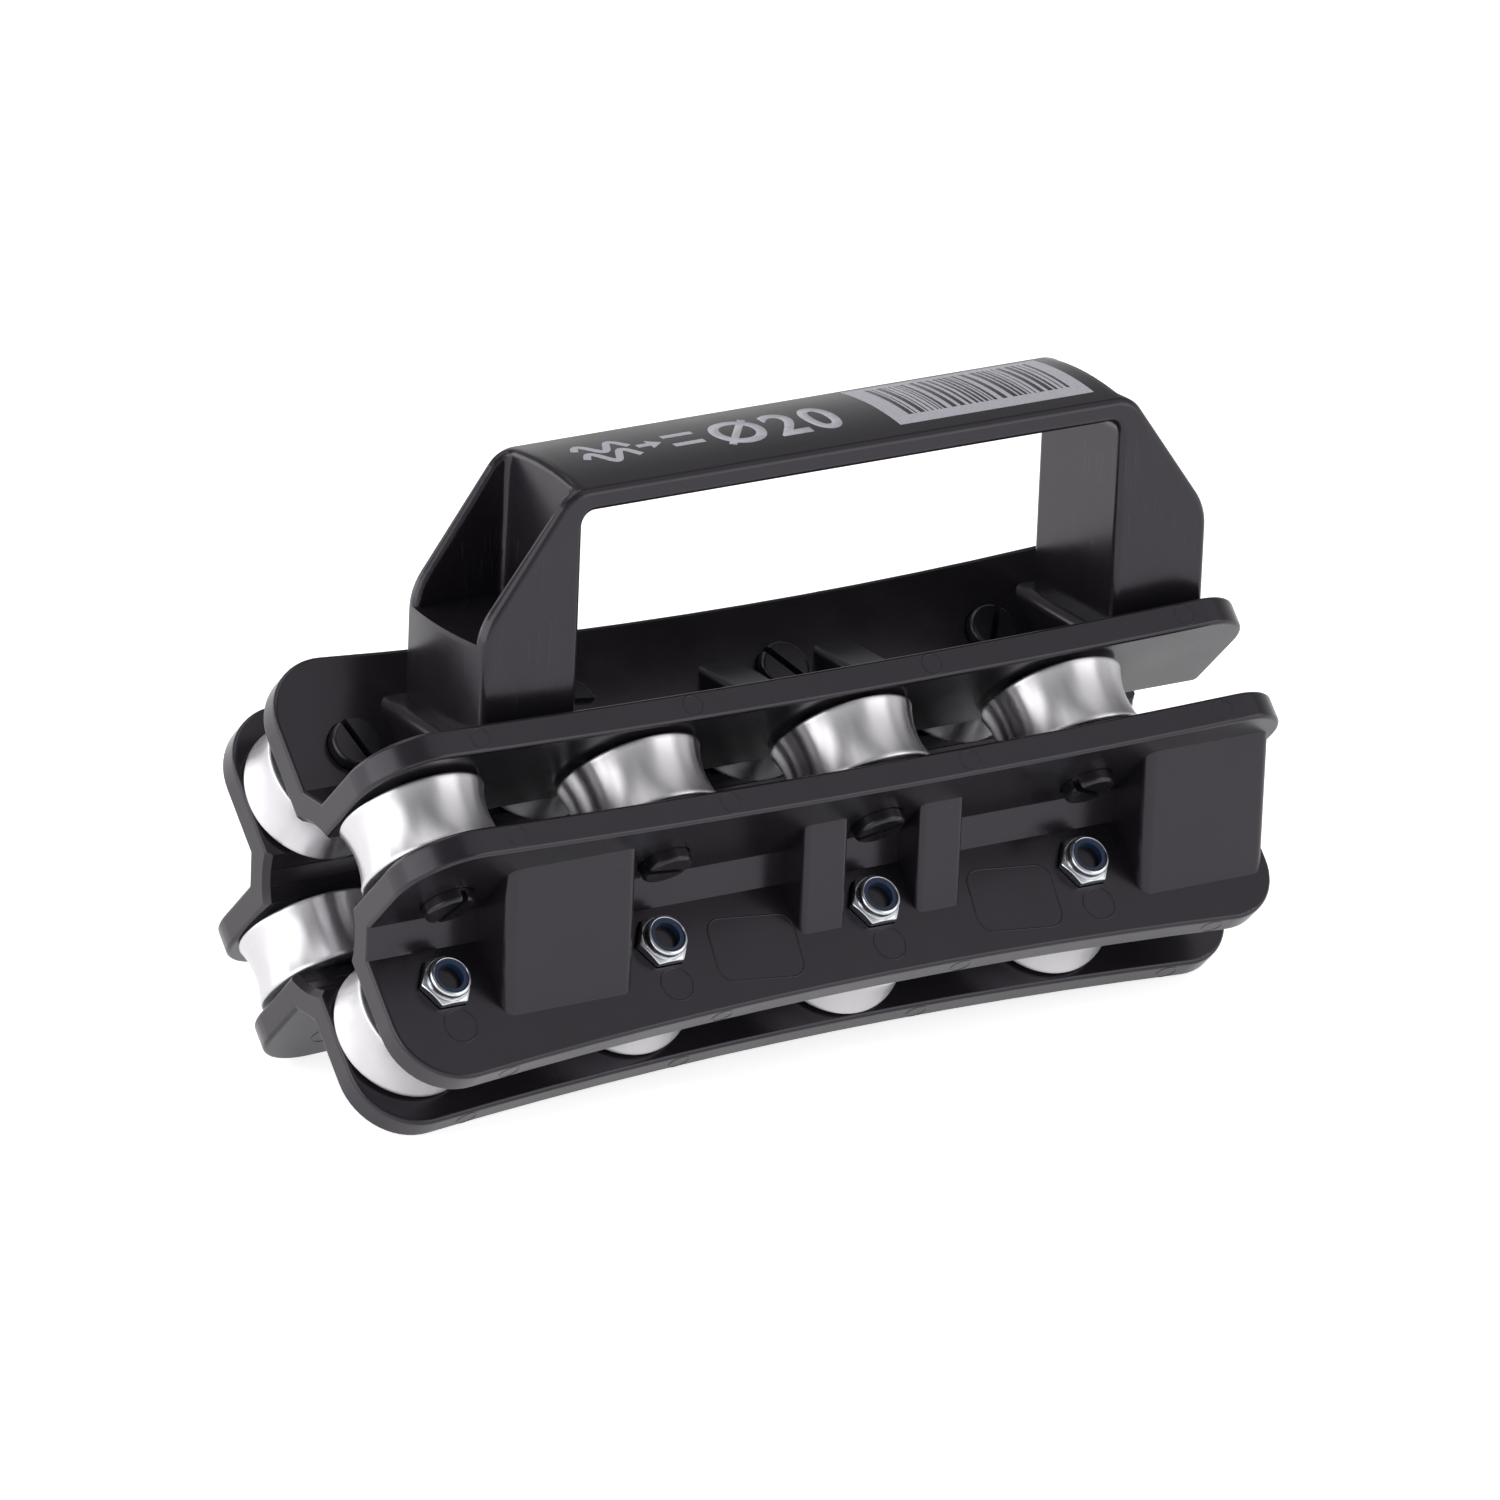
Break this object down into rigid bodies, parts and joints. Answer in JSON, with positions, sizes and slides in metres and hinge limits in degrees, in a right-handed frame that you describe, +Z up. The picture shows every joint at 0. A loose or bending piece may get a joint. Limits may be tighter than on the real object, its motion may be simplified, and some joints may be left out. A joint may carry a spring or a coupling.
{
  "type": "tube straightener",
  "caption": "Hand-held straightener for 20 mm tube: moulded shells round a channel, rows of grooved rollers on bolted axles, and a bar handle on top.",
  "frame": {"origin": "on the axis of the tube's path, half-way along the shells", "axes": "+X along the tube's path, towards the end whose rollers are further from it; +Z up through the handle; +Y to the back"},
  "size_m": [0.1658, 0.0678, 0.102],
  "materials": {
    "moulded_shell": "semi-gloss dark grey moulded glass-filled nylon",
    "roller_metal": "turned and satin polished",
    "black_screw": "black oxide",
    "zinc_nut": "bright zinc plated",
    "nylon_ring": "dark blue nylon",
    "steel_sleeve": "plain drawn steel"
  },
  "bodies": {
    "straightener_body": {"handle_shell": "moulded_shell", "front_shell": "moulded_shell", "bottom_shell": "moulded_shell", "back_shell": "moulded_shell", "screws_front_top": "black_screw", "nuts_front_top": "zinc_nut", "lock_rings_front_top": "nylon_ring", "sleeves_front_top": "steel_sleeve", "screws_front_bottom": "black_screw", "nuts_front_bottom": "zinc_nut", "lock_rings_front_bottom": "nylon_ring", "sleeves_front_bottom": "steel_sleeve", "screws_back_bottom": "black_screw", "nuts_back_bottom": "zinc_nut", "lock_rings_back_bottom": "nylon_ring", "sleeves_back_bottom": "steel_sleeve", "screws_back_top": "black_screw", "nuts_back_top": "zinc_nut", "lock_rings_back_top": "nylon_ring", "sleeves_back_top": "steel_sleeve"},
    "front_top_roller_1": {"roller_front_top_1": "roller_metal"},
    "front_top_roller_2": {"roller_front_top_2": "roller_metal"},
    "front_top_roller_3": {"roller_front_top_3": "roller_metal"},
    "front_top_roller_4": {"roller_front_top_4": "roller_metal"},
    "front_bottom_roller_1": {"roller_front_bottom_1": "roller_metal"},
    "front_bottom_roller_2": {"roller_front_bottom_2": "roller_metal"},
    "front_bottom_roller_3": {"roller_front_bottom_3": "roller_metal"},
    "front_bottom_roller_4": {"roller_front_bottom_4": "roller_metal"},
    "back_bottom_roller_1": {"roller_back_bottom_1": "roller_metal"},
    "back_bottom_roller_2": {"roller_back_bottom_2": "roller_metal"},
    "back_bottom_roller_3": {"roller_back_bottom_3": "roller_metal"},
    "back_bottom_roller_4": {"roller_back_bottom_4": "roller_metal"},
    "back_top_roller_1": {"roller_back_top_1": "roller_metal"},
    "back_top_roller_2": {"roller_back_top_2": "roller_metal"},
    "back_top_roller_3": {"roller_back_top_3": "roller_metal"},
    "back_top_roller_4": {"roller_back_top_4": "roller_metal"}
  },
  "joints": [
    {"name": "front_top_roller_1_spin", "type": "hinge", "parent": "straightener_body", "child": "front_top_roller_1", "pos_m": [-0.0711, -0.01492, 0.01492], "axis": [0, 0.7071, 0.7071], "continuous": true},
    {"name": "front_top_roller_2_spin", "type": "hinge", "parent": "straightener_body", "child": "front_top_roller_2", "pos_m": [-0.0311, -0.01492, 0.01492], "axis": [0, 0.7071, 0.7071], "continuous": true},
    {"name": "front_top_roller_3_spin", "type": "hinge", "parent": "straightener_body", "child": "front_top_roller_3", "pos_m": [0.0089, -0.01492, 0.01492], "axis": [0, 0.7071, 0.7071], "continuous": true},
    {"name": "front_top_roller_4_spin", "type": "hinge", "parent": "straightener_body", "child": "front_top_roller_4", "pos_m": [0.0489, -0.01492, 0.01492], "axis": [0, 0.7071, 0.7071], "continuous": true},
    {"name": "front_bottom_roller_1_spin", "type": "hinge", "parent": "straightener_body", "child": "front_bottom_roller_1", "pos_m": [-0.0711, -0.01492, -0.01492], "axis": [0, -0.7071, 0.7071], "continuous": true},
    {"name": "front_bottom_roller_2_spin", "type": "hinge", "parent": "straightener_body", "child": "front_bottom_roller_2", "pos_m": [-0.0311, -0.01492, -0.01492], "axis": [0, -0.7071, 0.7071], "continuous": true},
    {"name": "front_bottom_roller_3_spin", "type": "hinge", "parent": "straightener_body", "child": "front_bottom_roller_3", "pos_m": [0.0089, -0.01492, -0.01492], "axis": [0, -0.7071, 0.7071], "continuous": true},
    {"name": "front_bottom_roller_4_spin", "type": "hinge", "parent": "straightener_body", "child": "front_bottom_roller_4", "pos_m": [0.0489, -0.01492, -0.01492], "axis": [0, -0.7071, 0.7071], "continuous": true},
    {"name": "back_bottom_roller_1_spin", "type": "hinge", "parent": "straightener_body", "child": "back_bottom_roller_1", "pos_m": [-0.0711, 0.01492, -0.01492], "axis": [0, -0.7071, -0.7071], "continuous": true},
    {"name": "back_bottom_roller_2_spin", "type": "hinge", "parent": "straightener_body", "child": "back_bottom_roller_2", "pos_m": [-0.0311, 0.01492, -0.01492], "axis": [0, -0.7071, -0.7071], "continuous": true},
    {"name": "back_bottom_roller_3_spin", "type": "hinge", "parent": "straightener_body", "child": "back_bottom_roller_3", "pos_m": [0.0089, 0.01492, -0.01492], "axis": [0, -0.7071, -0.7071], "continuous": true},
    {"name": "back_bottom_roller_4_spin", "type": "hinge", "parent": "straightener_body", "child": "back_bottom_roller_4", "pos_m": [0.0489, 0.01492, -0.01492], "axis": [0, -0.7071, -0.7071], "continuous": true},
    {"name": "back_top_roller_1_spin", "type": "hinge", "parent": "straightener_body", "child": "back_top_roller_1", "pos_m": [-0.0711, 0.01492, 0.01492], "axis": [0, 0.7071, -0.7071], "continuous": true},
    {"name": "back_top_roller_2_spin", "type": "hinge", "parent": "straightener_body", "child": "back_top_roller_2", "pos_m": [-0.0311, 0.01492, 0.01492], "axis": [0, 0.7071, -0.7071], "continuous": true},
    {"name": "back_top_roller_3_spin", "type": "hinge", "parent": "straightener_body", "child": "back_top_roller_3", "pos_m": [0.0089, 0.01492, 0.01492], "axis": [0, 0.7071, -0.7071], "continuous": true},
    {"name": "back_top_roller_4_spin", "type": "hinge", "parent": "straightener_body", "child": "back_top_roller_4", "pos_m": [0.0489, 0.01492, 0.01492], "axis": [0, 0.7071, -0.7071], "continuous": true}
  ]
}
